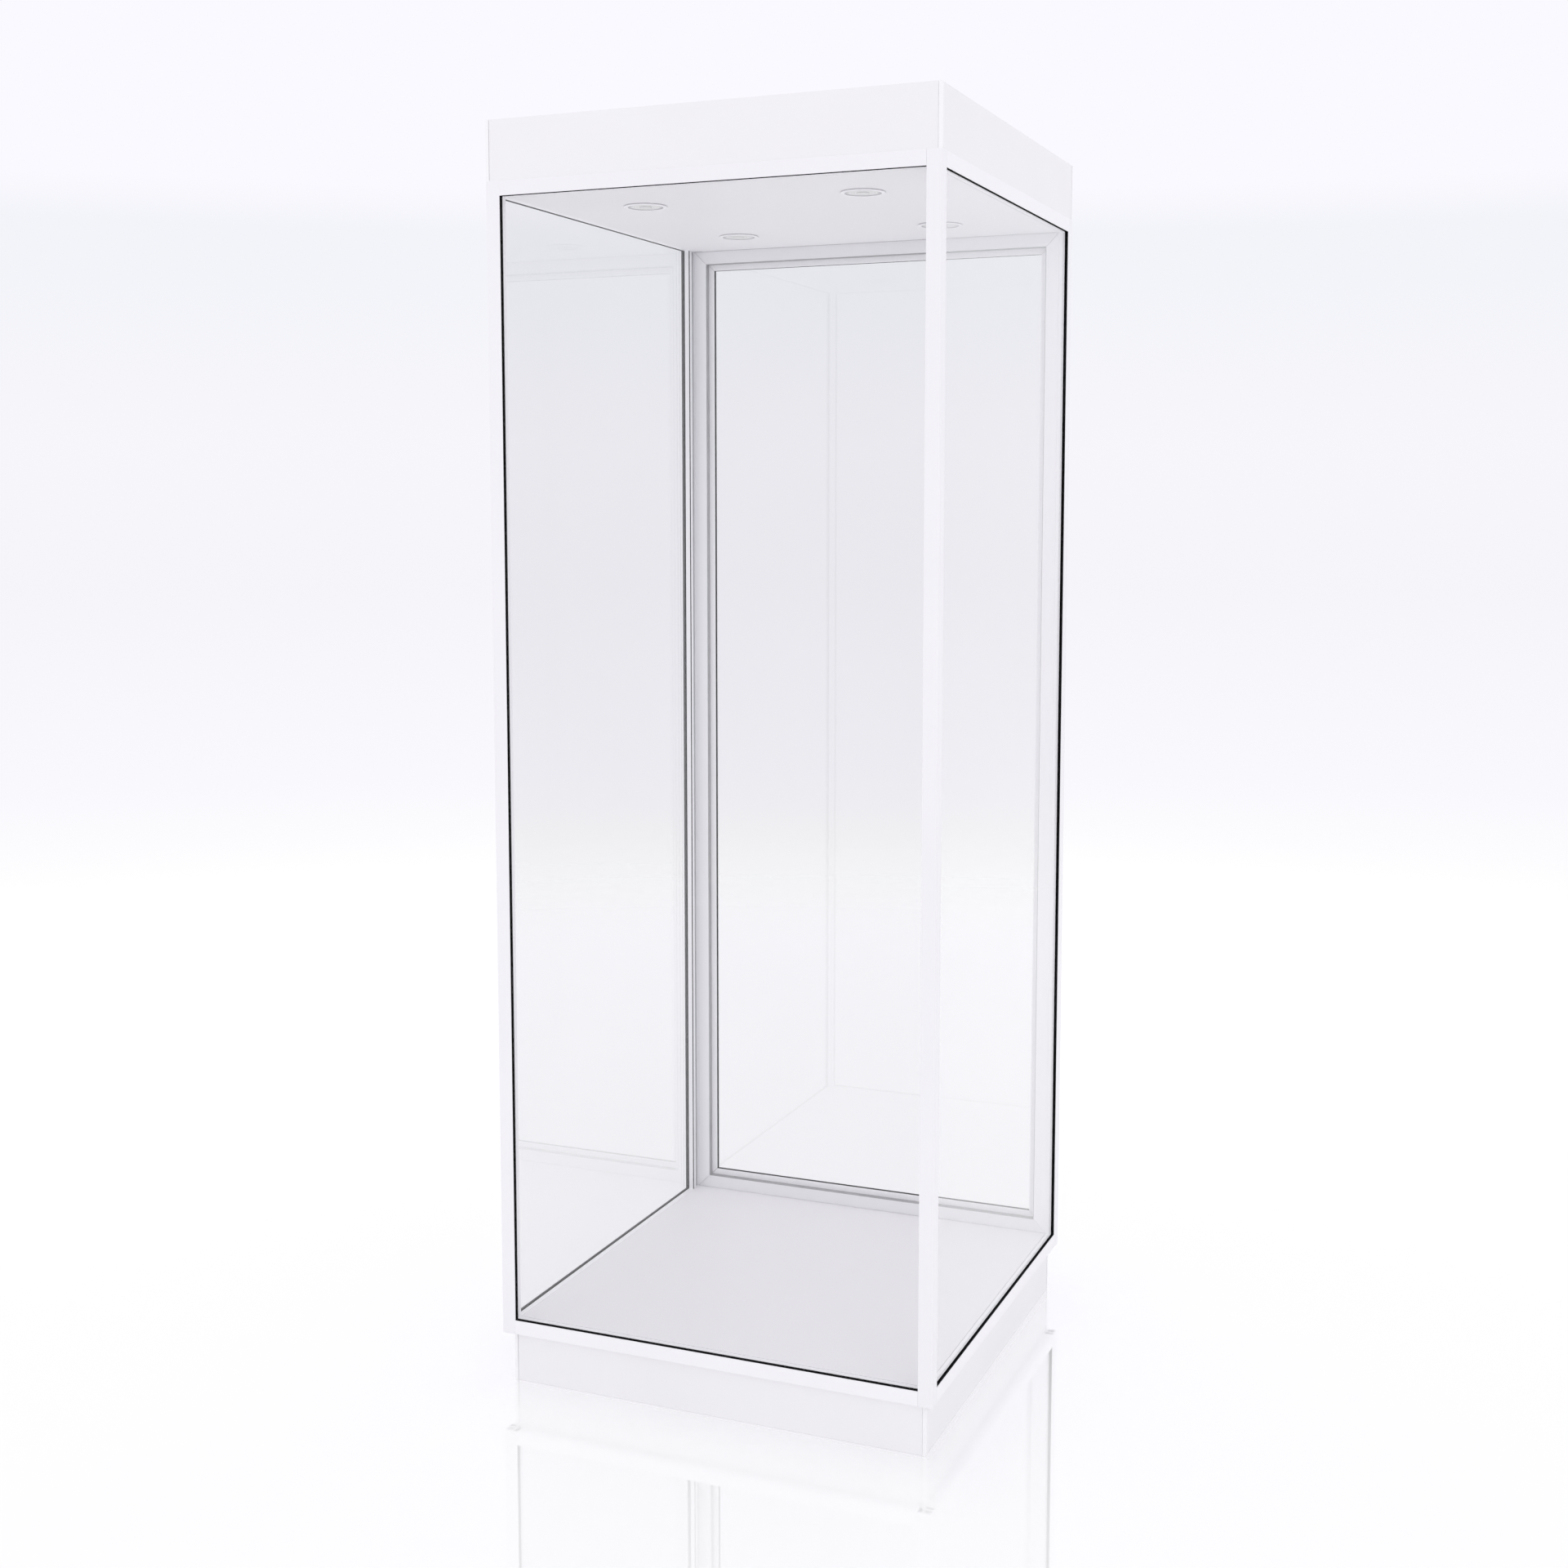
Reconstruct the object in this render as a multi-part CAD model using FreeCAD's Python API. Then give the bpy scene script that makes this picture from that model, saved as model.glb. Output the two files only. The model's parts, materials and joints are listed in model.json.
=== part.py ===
# Tall glazed display case for one full-size mannequin.
# Millimetres. X runs along the front, the front looks towards -Y, the hinged
# door is at the back (+Y), Z is up and z = 0 is the floor under the middle.
import FreeCAD
import Part
import math
import os

Vector = FreeCAD.Vector

# Overall sizes
case_width = 800.0
case_depth = 800.0
plinth_height = 90.0
frame_height = 2000.0
canopy_height = 100.0

# Aluminium section of the posts and rails
profile = 25.0
profile_wall = 2.2
profile_lip = 1.5
profile_round = 0.8
groove_depth = 8.0

# Glazing in the section's groove
glass_thickness = 8.8
gasket_outer = 3.0
gasket_inner = 1.0
gasket_base = 1.5
bead_width = 4.3
bead_depth = 5.0

# Corner connectors inside the section
connector_fit = 0.1
connector_reach = 60.0

# Trim of the left pane's rear stile
cover_wall = 1.2
cover_recess = 3.0
edge_seal = 1.5

# Door stop
stop_width = 25.0
stop_wall = 1.5
stop_round = 0.8
mitre_gap = 0.8
seal_gap = 1.0
seal_width = 8.0
seal_lining = 1.0

# Door leaf
leaf_thickness = 12.0
leaf_width = 35.5
leaf_wall = 2.0
leaf_lip = 1.3
leaf_round = 0.8
leaf_groove_depth = 10.0
door_gap = 2.0
door_glass_thickness = 4.0
door_gasket_front = 4.7
door_gasket_rear = 0.8
door_gasket_base = 2.0
cleat_reach = 60.0

# Door pivots
pin_diameter = 5.0
pin_length_in_leaf = 40.0
pin_fit = 0.05
pin_end_gap = 0.5
port_wall = 1.0
bush_wall = 1.0
bush_flange_width = 2.0
running_gap = 0.3

# Door lock
lock_height = 960.0
lock_case_height = 60.0
lock_case_wall = 1.0
plug_diameter = 10.0
plug_fit = 0.05
escutcheon_width = 4.0
escutcheon_thickness = 1.0
keyway_length = 6.0
keyway_width = 1.4
keyway_depth = 2.5
bolt_throw = 8.0
bolt_thickness = 3.0
bolt_edge = 3.0
cam_pin_diameter = 3.0
cam_clearance = 0.35
strike_thickness = 1.0
strike_margin = 3.0
strike_height = 50.0
strike_clearance = 0.5
strike_screw_hole = 3.0
strike_screw_head = 4.8
strike_screw_inset = 7.0

# Deck and ceiling
panel_gap = 1.0
ceiling_thickness = 12.0
bracket_leg = 11.0
bracket_foot = 16.0
bracket_thickness = 2.0
bracket_width = 30.0
bracket_place_share = 0.6

# Downlights
downlight_spacing = 400.0
bezel_diameter = 75.0
bezel_thickness = 2.5
bezel_bevel = 0.6
bezel_gap = 1.2
bezel_seat = 1.0
neck_diameter = 66.0
neck_wall = 2.0
neck_fit = 0.5
neck_height = 30.0
reflector_wall = 1.5
reflector_rim = 4.0
reflector_recess = 0.8
lens_fit = 0.2
lens_flange = 2.0
lens_button_diameter = 21.0
sink_base = 5.0
sink_height = 36.0
sink_fins = 7
fin_gap_share = 0.6
clip_thickness = 1.0
clip_width = 9.0
clip_reach = 15.0
clip_foot = 4.0
clip_height = 9.0

# Lighting driver above the ceiling
driver_length = 150.0
driver_width = 40.0
driver_height = 28.0
driver_ear = 16.0
driver_ear_thickness = 2.0
driver_hole_diameter = 4.5

# Canopy
canopy_panel = 12.0
canopy_block = 30.0
canopy_edge_round = 1.0
lid_thickness = 12.0
lid_screw_hole = 4.5
lid_screw_head = 9.0
lid_screw_pilot = 3.0
lid_screw_bite = 25.0
vent_slots = 9
vent_width = 5.0
vent_length = 90.0
vent_pitch = 16.0
vent_inset = 130.0

# Plinth
plinth_setback = 15.0
plinth_panel = 15.0
plinth_block = 40.0
block_clearance = 5.0
base_thickness = 18.0

# Corner beads of the canopy and the plinth, which stand proud of the panels
corner_bead = 6.0
corner_bead_round = 1.5
panel_recess = 0.8
shadow_groove_width = 0.6
shadow_groove_depth = 2.0

# Levelling feet
foot_inset = 85.0
pad_diameter = 32.0
pad_rim = 4.0
pad_height = 10.0
pad_top_diameter = 22.0
nut_across_flats = 14.0
nut_height = 6.0
stem_diameter = 8.0
stem_fit = 0.05
stem_top_gap = 2.0
insert_wall = 2.0
insert_flange_width = 4.0
insert_flange_thickness = 2.0

# Cable grommet in the back of the plinth
grommet_offset = 250.0
grommet_bore = 12.0
grommet_wall = 6.0
grommet_flange_width = 4.0
grommet_flange_thickness = 2.0

# Overrun of every cut through a face
overrun = 1.0

# Derived levels and reaches
half_width = case_width / 2
half_depth = case_depth / 2
inner_half_width = half_width - profile
inner_half_depth = half_depth - profile
frame_bottom = plinth_height
frame_top = frame_bottom + frame_height
deck_level = frame_bottom + profile
ceiling_level = frame_top - profile
ceiling_top = ceiling_level + ceiling_thickness
canopy_top = frame_top + canopy_height

# Derived depths in the aluminium section, measured inward from an outer face
groove_bottom = profile - groove_depth
glass_near = profile_lip + gasket_outer
glass_far = glass_near + glass_thickness
groove_span = (profile_lip, glass_far + gasket_inner)
bead_span = (groove_span[1], groove_span[1] + bead_width)
chamber = (profile_wall, groove_bottom - profile_wall)
closed_cell = (groove_bottom, profile - profile_wall)
pane_entry = groove_depth - gasket_base

# Derived places of the door, which closes flush with the back of the frame
leaf_back = half_depth
leaf_front = leaf_back - leaf_thickness
stop_back = leaf_front - seal_gap
stop_front = inner_half_depth
leaf_outline = (-inner_half_width + door_gap, inner_half_width - door_gap,
                deck_level + door_gap, ceiling_level - door_gap)
stop_outline = (-inner_half_width, inner_half_width, deck_level, ceiling_level)
leaf_y = (leaf_front, leaf_back)
leaf_cell_y = (leaf_front + leaf_wall, leaf_back - leaf_wall)
leaf_cell = (leaf_wall, leaf_width - leaf_groove_depth - leaf_wall)
leaf_groove = (leaf_width - leaf_groove_depth, leaf_width)
leaf_middle = (leaf_front + leaf_back) / 2
door_glass_near = leaf_front + leaf_lip + door_gasket_front
door_glass_y = (door_glass_near, door_glass_near + door_glass_thickness)
leaf_groove_y = (door_glass_y[0] - door_gasket_front, door_glass_y[1] + door_gasket_rear)
nose_radius = leaf_thickness / 2
pin_radius = pin_diameter / 2
pivot_x = leaf_outline[1] - nose_radius
pivot_y = leaf_middle
hinge_cell = (nose_radius + pin_radius + port_wall, leaf_cell[1])

WALL_SIDES = ("left", "right", "bottom", "top")
SIGNS = (-1, 1)
AXES = {"x": Vector(1, 0, 0), "y": Vector(0, 1, 0), "z": Vector(0, 0, 1)}


def box(x, y, z):
    """A block between three (low, high) spans."""
    return Part.makeBox(x[1] - x[0], y[1] - y[0], z[1] - z[0], Vector(x[0], y[0], z[0]))


def around(middle, length):
    """The span of a length centred on a place."""
    return middle - length / 2, middle + length / 2


def longer(span):
    """A span that overruns at both ends, for a cut."""
    return span[0] - overrun, span[1] + overrun


def inward(side, face, near, far):
    """The span between two depths, measured inward from the face on that side."""
    ends = (face - side * near, face - side * far)
    return min(ends), max(ends)


def cylinder(radius, length, base, axis):
    """A round bar from a base point along an axis."""
    return Part.makeCylinder(radius, length, base, axis)


def upright(radius, x, y, z):
    """A round bar along Z between two heights."""
    return cylinder(radius, z[1] - z[0], Vector(x, y, z[0]), Vector(0, 0, 1))


def crosswise(radius, x, y, z):
    """A round bar along Y between two depths."""
    return cylinder(radius, y[1] - y[0], Vector(x, y[0], z), Vector(0, 1, 0))


def cut_all(solid, tools):
    """One solid with every tool taken away."""
    return solid.cut(tools)


def fuse_all(solids):
    """One solid from pieces that meet."""
    return solids[0].fuse(solids[1:]).removeSplitter()


def prism(points, direction):
    """A closed outline pushed along a direction."""
    return Part.Face(Part.makePolygon(points + points[:1])).extrude(direction)


def runs_along(edge, axis):
    """True for a straight edge that runs along an axis."""
    step = edge.Vertexes[-1].Point - edge.Vertexes[0].Point
    return math.isclose(abs(step.dot(AXES[axis])), step.Length)


def eased(bar, axis, radius):
    """A bar with its long edges rounded."""
    return bar.makeFillet(radius, [edge for edge in bar.Edges if runs_along(edge, axis)])


def countersunk(face, direction, hole, head, length):
    """A screw hole that widens to the screw's head at a face."""
    sink = Part.makeCone(head / 2, hole / 2, (head - hole) / 2, face, direction)
    return [cylinder(hole / 2, length, face, direction), sink]


def revolved(points, place):
    """A closed outline of (radius, height) points turned about a vertical axis."""
    corners = [Vector(radius, 0, height) for radius, height in points]
    face = Part.Face(Part.makePolygon(corners + corners[:1]))
    turned = face.revolve(Vector(), Vector(0, 0, 1), 360)
    turned.translate(place)
    return turned


# Walls: outlines of openings in a plane, as (low, high, bottom, top)

def plate(plane, outline, inset, thick):
    """A flat plate inside an outline; a negative inset makes it larger."""
    along = (outline[0] + inset, outline[1] - inset)
    tall = (outline[2] + inset, outline[3] - inset)
    return box(along, thick, tall) if plane == "xz" else box(thick, along, tall)


def ring(plane, outline, insets, thick):
    """A flat ring between two insets of an outline."""
    return plate(plane, outline, insets[0], thick).cut(plate(plane, outline, insets[1], longer(thick)))


def mitred(plane, outline, side, insets, thick, gap=0):
    """One side of a picture frame, cut at 45 degrees; a gap shortens the uprights at both ends."""
    low, high, bottom, top = outline
    near, far = insets
    foot = bottom + gap
    head = top - gap
    corners = {
        "left": [(low + near, foot + near), (low + far, foot + far),
                 (low + far, head - far), (low + near, head - near)],
        "right": [(high - near, foot + near), (high - far, foot + far),
                  (high - far, head - far), (high - near, head - near)],
        "bottom": [(low + near, bottom + near), (high - near, bottom + near),
                   (high - far, bottom + far), (low + far, bottom + far)],
        "top": [(low + near, top - near), (high - near, top - near),
                (high - far, top - far), (low + far, top - far)],
    }[side]
    depth = thick[1] - thick[0]
    if plane == "xz":
        return prism([Vector(along, thick[0], up) for along, up in corners], Vector(0, depth, 0))
    return prism([Vector(thick[0], along, up) for along, up in corners], Vector(depth, 0, 0))


# Aluminium frame

def bar_cell(axis, run, first, second, deep, flat):
    """A rectangle of the section, given by depths from two outer faces, run along an axis."""
    across = inward(*first, *deep)
    other = inward(*second, *flat)
    return {"x": (run, across, other), "y": (across, run, other), "z": (across, other, run)}[axis]


def profile_bar(axis, run, first, second, grooves=""):
    """A hollow bar with a glazing groove on the inner face "a", "b", both or neither."""
    whole = box(*bar_cell(axis, run, first, second, (0, profile), (0, profile)))
    solid = eased(whole, axis, profile_round)
    cells = [(chamber, chamber)]
    open_groove = (groove_bottom, profile + overrun)
    open_bead = (profile - bead_depth, profile + overrun)
    for face in "ab":
        pairs = [(closed_cell, chamber)]
        if face in grooves:
            pairs = [(open_groove, groove_span), (open_bead, bead_span)]
        cells += pairs if face == "a" else [pair[::-1] for pair in pairs]
    if not grooves:
        cells.append((closed_cell, closed_cell))
    return cut_all(solid, [box(*bar_cell(axis, longer(run), first, second, *cell)) for cell in cells])


def frame_end(side):
    """The top (+1) or bottom (-1) outer face of the frame."""
    return frame_top if side > 0 else frame_bottom


def post(x_side, y_side, grooves):
    """A corner post over the whole height of the frame, holed for the connectors."""
    x_face, y_face = x_side * half_width, y_side * half_depth
    solid = profile_bar("z", (frame_bottom, frame_top), (x_side, x_face), (y_side, y_face), grooves)
    through = (chamber[1] - overrun, profile + overrun)
    holes = []
    for end in SIGNS:
        height = inward(end, frame_end(end), *chamber)
        holes.append(box(inward(x_side, x_face, *through), inward(y_side, y_face, *chamber), height))
        holes.append(box(inward(x_side, x_face, *chamber), inward(y_side, y_face, *through), height))
    return cut_all(solid, holes)


def rail_along_x(y_side, end, grooves):
    """A front or back rail between two posts."""
    run = (-inner_half_width, inner_half_width)
    return profile_bar("x", run, (y_side, y_side * half_depth), (end, frame_end(end)), grooves)


def rail_along_y(x_side, end):
    """A side rail between two posts, grooved for the pane."""
    run = (-inner_half_depth, inner_half_depth)
    return profile_bar("y", run, (x_side, x_side * half_width), (end, frame_end(end)), "b")


def corner_connector(x_side, y_side, end):
    """Three arms that plug into a post and two rails."""
    section = (chamber[0] + connector_fit, chamber[1] - connector_fit)
    reach = (section[0], connector_reach)
    faces = ((x_side, x_side * half_width), (y_side, y_side * half_depth), (end, frame_end(end)))
    arms = []
    for axis in range(len(faces)):
        depths = [reach if place == axis else section for place in range(len(faces))]
        arms.append(box(*[inward(*face, *depth) for face, depth in zip(faces, depths)]))
    return fuse_all(arms)


def pane_stile():
    """The left pane's rear stile, in front of the back post, with a spare groove inside."""
    run = (deck_level, ceiling_level)
    solid = profile_bar("z", run, (-1, -half_width), (1, inner_half_depth), "ab")
    return solid.cut(stile_strip(longer(run), (profile - edge_seal, profile + overrun),
                                 (profile - edge_seal, profile + overrun)))


def stile_strip(run, deep, flat):
    """A strip of the pane stile, given by depths from its two outer faces."""
    return box(*bar_cell("z", run, (-1, -half_width), (1, inner_half_depth), deep, flat))


def groove_cover():
    """A clip-in channel that closes the stile's spare groove."""
    run = (deck_level, ceiling_level)
    deep = (groove_bottom, profile - cover_recess)
    outside = stile_strip(run, deep, groove_span)
    flat = (groove_span[0] + cover_wall, groove_span[1] - cover_wall)
    return outside.cut(stile_strip(longer(run), (deep[0] - overrun, deep[1] - cover_wall), flat))


# Glazing: plane, opening and outer face of each fixed pane

GLAZED = {
    "front": ("xz", (-inner_half_width, inner_half_width, deck_level, ceiling_level),
              (-1, -half_depth)),
    "left": ("yz", (-inner_half_depth, inner_half_depth - profile, deck_level, ceiling_level),
             (-1, -half_width)),
    "right": ("yz", (-inner_half_depth, inner_half_depth, deck_level, ceiling_level),
              (1, half_width)),
}


def pane(wall):
    """A sheet of laminated glass that stands in the groove all round."""
    plane, opening, face = GLAZED[wall]
    return plate(plane, opening, -pane_entry, inward(*face, glass_near, glass_far))


def pane_gasket(wall):
    """The channel gasket that fills the groove round a pane."""
    plane, opening, face = GLAZED[wall]
    return ring(plane, opening, (-groove_depth, 0), inward(*face, *groove_span)).cut(pane(wall))


def pane_beads(wall):
    """Four snap-in beads that hold a pane from inside."""
    plane, opening, face = GLAZED[wall]
    thick = inward(*face, *bead_span)
    return [mitred(plane, opening, side, (-bead_depth, 0), thick) for side in WALL_SIDES]


def stile_bead():
    """The bead beside the stile's spare groove."""
    return stile_strip((deck_level, ceiling_level), (profile - bead_depth, profile), bead_span)


# Door stop and door leaf

def bar_axis(side):
    """The axis that a side of an upright frame runs along."""
    return "z" if side in ("left", "right") else "x"


def stop_bar(side):
    """A hollow mitred bar of the frame that the door closes against."""
    whole = mitred("xz", stop_outline, side, (0, stop_width), (stop_front, stop_back), mitre_gap)
    outside = eased(whole, bar_axis(side), stop_round)
    hollow = (stop_front + stop_wall, stop_back - stop_wall)
    return outside.cut(mitred("xz", stop_outline, side, (stop_wall, stop_width - stop_wall), hollow))


def door_seal():
    """The seal that lines the stop's inner edge and turns onto its back, where the leaf meets it."""
    inner = stop_width + seal_lining
    face = leaf_front - running_gap
    lining = ring("xz", stop_outline, (stop_width, inner), (stop_front + stop_round, face))
    turned = ring("xz", stop_outline, (inner - seal_width, inner), (stop_back, face))
    return fuse_all([lining, turned])


def hinge_nose():
    """What is taken off the leaf's hinge edge to round it about the pivot."""
    height = longer((leaf_outline[2], leaf_outline[3]))
    block = box((pivot_x, leaf_outline[1] + overrun), longer(leaf_y), height)
    return block.cut(upright(nose_radius, pivot_x, pivot_y, longer(height)))


def leaf_bar(side, cell):
    """A hollow mitred bar of the leaf with its glass groove."""
    whole = mitred("xz", leaf_outline, side, (0, leaf_width), leaf_y, mitre_gap)
    outside = eased(whole, bar_axis(side), leaf_round)
    hollow = mitred("xz", leaf_outline, side, cell, leaf_cell_y)
    groove = mitred("xz", leaf_outline, side, (leaf_groove[0], leaf_groove[1] + overrun), leaf_groove_y)
    return cut_all(outside, [hollow, groove])


def hinge_stile():
    """The stile that turns on the pivots, with a round port for the pins."""
    port = upright(pin_radius, pivot_x, pivot_y, longer((leaf_outline[2], leaf_outline[3])))
    return cut_all(leaf_bar("right", hinge_cell), [hinge_nose(), port])


def leaf_rail(side):
    """The top or bottom rail of the leaf."""
    port = upright(pin_radius, pivot_x, pivot_y, longer((leaf_outline[2], leaf_outline[3])))
    return cut_all(leaf_bar(side, leaf_cell), [hinge_nose(), port])


def corner_cleat(side, end):
    """An angle that plugs into a stile and a rail of the leaf."""
    x_face = leaf_outline[1] if side > 0 else leaf_outline[0]
    z_face = leaf_outline[3] if end > 0 else leaf_outline[2]
    reach = (hinge_cell[0], cleat_reach)
    upright_arm = box(inward(side, x_face, *hinge_cell), leaf_cell_y, inward(end, z_face, *reach))
    level_arm = box(inward(side, x_face, *reach), leaf_cell_y, inward(end, z_face, *hinge_cell))
    return fuse_all([upright_arm, level_arm])


def door_glass():
    """The leaf's glass."""
    return plate("xz", leaf_outline, leaf_groove[0] + door_gasket_base, door_glass_y)


def door_gasket():
    """The channel gasket round the leaf's glass, flush with the edges of the bars."""
    return ring("xz", leaf_outline, leaf_groove, leaf_groove_y).cut(door_glass())


# Door pivots: end is +1 at the top and -1 at the bottom

def opening_edge(end):
    """The face of the back rail that the pivot enters."""
    return ceiling_level if end > 0 else deck_level


def pivot_pin(end):
    """A pin fixed in the hinge stile that runs in the bush of the rail."""
    face = opening_edge(end)
    tip = face + end * (groove_depth - pin_end_gap)
    root = face - end * (door_gap + pin_length_in_leaf)
    return upright(pin_radius, pivot_x, pivot_y, (min(tip, root), max(tip, root)))


def pivot_bush(end):
    """A flanged bush in the back rail; the flange carries the leaf's edge."""
    face = opening_edge(end)
    bore = pin_radius + pin_fit
    body = pin_radius + pin_fit + bush_wall
    flange = inward(end, face, 0, door_gap - running_gap)
    sleeve = inward(end, face, 0, -groove_depth)
    solid = fuse_all([upright(body + bush_flange_width, pivot_x, pivot_y, flange),
                      upright(body, pivot_x, pivot_y, sleeve)])
    return solid.cut(upright(bore, pivot_x, pivot_y, longer((min(flange + sleeve), max(flange + sleeve)))))


def back_rail(end):
    """A back rail with the hole for the pivot bush."""
    face = opening_edge(end)
    body = pin_radius + pin_fit + bush_wall
    hole = upright(body, pivot_x, pivot_y, inward(end, face, overrun, -groove_depth))
    return rail_along_x(1, end, "").cut(hole)


# Door lock: a plug whose cam pin draws the bolt

lock_level = frame_bottom + lock_height
lock_left = leaf_outline[0]
plug_radius = plug_diameter / 2
plug_x = lock_left + (leaf_cell[0] + leaf_cell[1]) / 2
cam_arm = bolt_throw / math.sqrt(2)
cam_offset = bolt_throw / 2
cam_radius = cam_pin_diameter / 2
yoke_half = cam_radius + cam_clearance
lock_case_x = (lock_left + leaf_cell[0], lock_left + leaf_cell[1])
lock_case_z = around(lock_level, lock_case_height)
lock_inside_y = (leaf_cell_y[0] + lock_case_wall, leaf_cell_y[1] - lock_case_wall)
bolt_y = (lock_inside_y[0] + running_gap, lock_inside_y[0] + running_gap + bolt_thickness)
yoke_x = (plug_x + cam_offset - yoke_half, plug_x + cam_offset + yoke_half)
yoke_z = (lock_level - cam_arm - yoke_half, lock_level - cam_offset + yoke_half)
bolt_x = (lock_left + running_gap, yoke_x[1] + bolt_edge)
bolt_z = (yoke_z[0] - bolt_edge, yoke_z[1] + bolt_edge)


def bolt_slot(clearance, x):
    """A hole that lets the bolt pass."""
    return box(x, (bolt_y[0] - clearance, bolt_y[1] + clearance),
               (bolt_z[0] - clearance, bolt_z[1] + clearance))


def plug_hole(radius, y):
    """A round hole about the plug's axis."""
    return crosswise(radius, plug_x, y, lock_level)


def lock_stile():
    """The free stile, cut for the plug, its escutcheon and the bolt."""
    recess_y = (leaf_back - escutcheon_thickness, leaf_back + overrun)
    recess = plug_hole(plug_radius + escutcheon_width, recess_y)
    bore = plug_hole(plug_radius + plug_fit, (leaf_cell_y[1] - overrun, leaf_back))
    slot = bolt_slot(running_gap, (lock_left - overrun, lock_case_x[0] + overrun))
    return cut_all(leaf_bar("left", leaf_cell), [recess, bore, slot])


def lock_case():
    """The thin box in the stile that guides the bolt."""
    inside_x = (lock_case_x[0] + lock_case_wall, lock_case_x[1] - lock_case_wall)
    inside_z = (lock_case_z[0] + lock_case_wall, lock_case_z[1] - lock_case_wall)
    slot = bolt_slot(running_gap, (lock_case_x[0] - overrun, inside_x[0] + overrun))
    bore = plug_hole(plug_radius + plug_fit, (lock_inside_y[1] - overrun, leaf_cell_y[1] + overrun))
    return cut_all(box(lock_case_x, leaf_cell_y, lock_case_z),
                   [box(inside_x, lock_inside_y, inside_z), slot, bore])


def lock_escutcheon():
    """The flush ring round the plug."""
    ring_y = (leaf_back - escutcheon_thickness, leaf_back)
    return plug_hole(plug_radius + escutcheon_width, ring_y).cut(
        plug_hole(plug_radius + plug_fit, longer(ring_y)))


def lock_plug():
    """The key plug with its cam pin, drawn with the bolt home in the leaf."""
    plug_y = (bolt_y[1] + running_gap, leaf_back)
    pin = crosswise(cam_radius, plug_x + cam_offset, (bolt_y[0], plug_y[0]), lock_level - cam_offset)
    arm = Part.makeBox(cam_arm + cam_radius, running_gap + cam_radius, cam_pin_diameter)
    arm.translate(Vector(0, plug_y[0], -cam_radius))
    arm.rotate(Vector(), Vector(0, 1, 0), 45)
    arm.translate(Vector(plug_x, 0, lock_level))
    root = crosswise(cam_radius, plug_x + cam_offset, (plug_y[0], plug_y[0] + running_gap + cam_radius),
                     lock_level - cam_offset)
    keyway = box(around(plug_x, keyway_width), (leaf_back - keyway_depth, leaf_back + overrun),
                 around(lock_level, keyway_length))
    return fuse_all([plug_hole(plug_radius, plug_y), arm, root, pin]).cut(keyway)


def lock_bolt():
    """The bolt with the upright slot that the cam pin runs in."""
    yoke = box(yoke_x, longer(bolt_y), yoke_z)
    return box(bolt_x, bolt_y, bolt_z).cut(yoke)


def strike_plate():
    """The plate on the back-left post that the bolt passes through."""
    face = -inner_half_width
    plate_x = (face, face + strike_thickness)
    plate_y = (bolt_y[0] - strike_margin, bolt_y[1] + strike_margin)
    plate_z = around((bolt_z[0] + bolt_z[1]) / 2, strike_height)
    holes = [bolt_slot(strike_clearance, longer(plate_x))]
    for level in (plate_z[0] + strike_screw_inset, plate_z[1] - strike_screw_inset):
        front = Vector(plate_x[1], (plate_y[0] + plate_y[1]) / 2, level)
        holes += countersunk(front, Vector(-1, 0, 0), strike_screw_hole, strike_screw_head, strike_thickness)
    return cut_all(box(plate_x, plate_y, plate_z), holes)


def strike_post():
    """The back-left post with the hole behind the strike plate."""
    face = -inner_half_width
    return post(-1, 1, "").cut(bolt_slot(strike_clearance, (face - profile_wall - overrun, face + overrun)))


# Deck, ceiling and lighting

def inner_panel(z):
    """A panel that fills the frame's inside, less a gap all round."""
    return box((-inner_half_width + panel_gap, inner_half_width - panel_gap),
               (-inner_half_depth + panel_gap, inner_half_depth - panel_gap), z)


neck_radius = neck_diameter / 2
neck_top = ceiling_level + neck_height
lamp_half = downlight_spacing / 2
LAMPS = [Vector(x * lamp_half, y * lamp_half, 0) for x in SIGNS for y in SIGNS]


def ceiling_panel():
    """The ceiling with four holes for the downlights."""
    height = (ceiling_level, ceiling_top)
    holes = [upright(neck_radius + neck_fit, lamp.x, lamp.y, longer(height)) for lamp in LAMPS]
    return cut_all(inner_panel(height), holes)


def ceiling_brackets():
    """Two angles on each side that hang the ceiling from the rails."""
    angles = []
    upper = (ceiling_top, ceiling_top + bracket_leg)
    lower = (ceiling_top, ceiling_top + bracket_thickness)
    for side in SIGNS:
        for place in SIGNS:
            leg = inward(side, side * inner_half_depth, 0, bracket_thickness)
            foot = inward(side, side * inner_half_depth, 0, bracket_foot)
            along = around(place * inner_half_width * bracket_place_share, bracket_width)
            angles.append(fuse_all([box(along, leg, upper), box(along, foot, lower)]))
            leg = inward(side, side * inner_half_width, 0, bracket_thickness)
            foot = inward(side, side * inner_half_width, 0, bracket_foot)
            along = around(place * inner_half_depth * bracket_place_share, bracket_width)
            angles.append(fuse_all([box(leg, along, upper), box(foot, along, lower)]))
    return angles


bezel_face = ceiling_level - bezel_thickness
neck_bore = neck_radius - neck_wall
lens_face = bezel_face + reflector_recess


def downlight_bezel(place):
    """The visible ring, which stands off the ceiling at its rim, with the neck that passes through."""
    edge = bezel_diameter / 2
    seat = neck_radius + neck_fit + bezel_seat
    rim_top = ceiling_level - bezel_gap
    outline = [(neck_bore, bezel_face), (edge - bezel_bevel, bezel_face), (edge, bezel_face + bezel_bevel),
               (edge, rim_top), (seat, rim_top), (seat, ceiling_level), (neck_radius, ceiling_level),
               (neck_radius, neck_top), (neck_bore, neck_top)]
    return revolved(outline, place)


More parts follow.
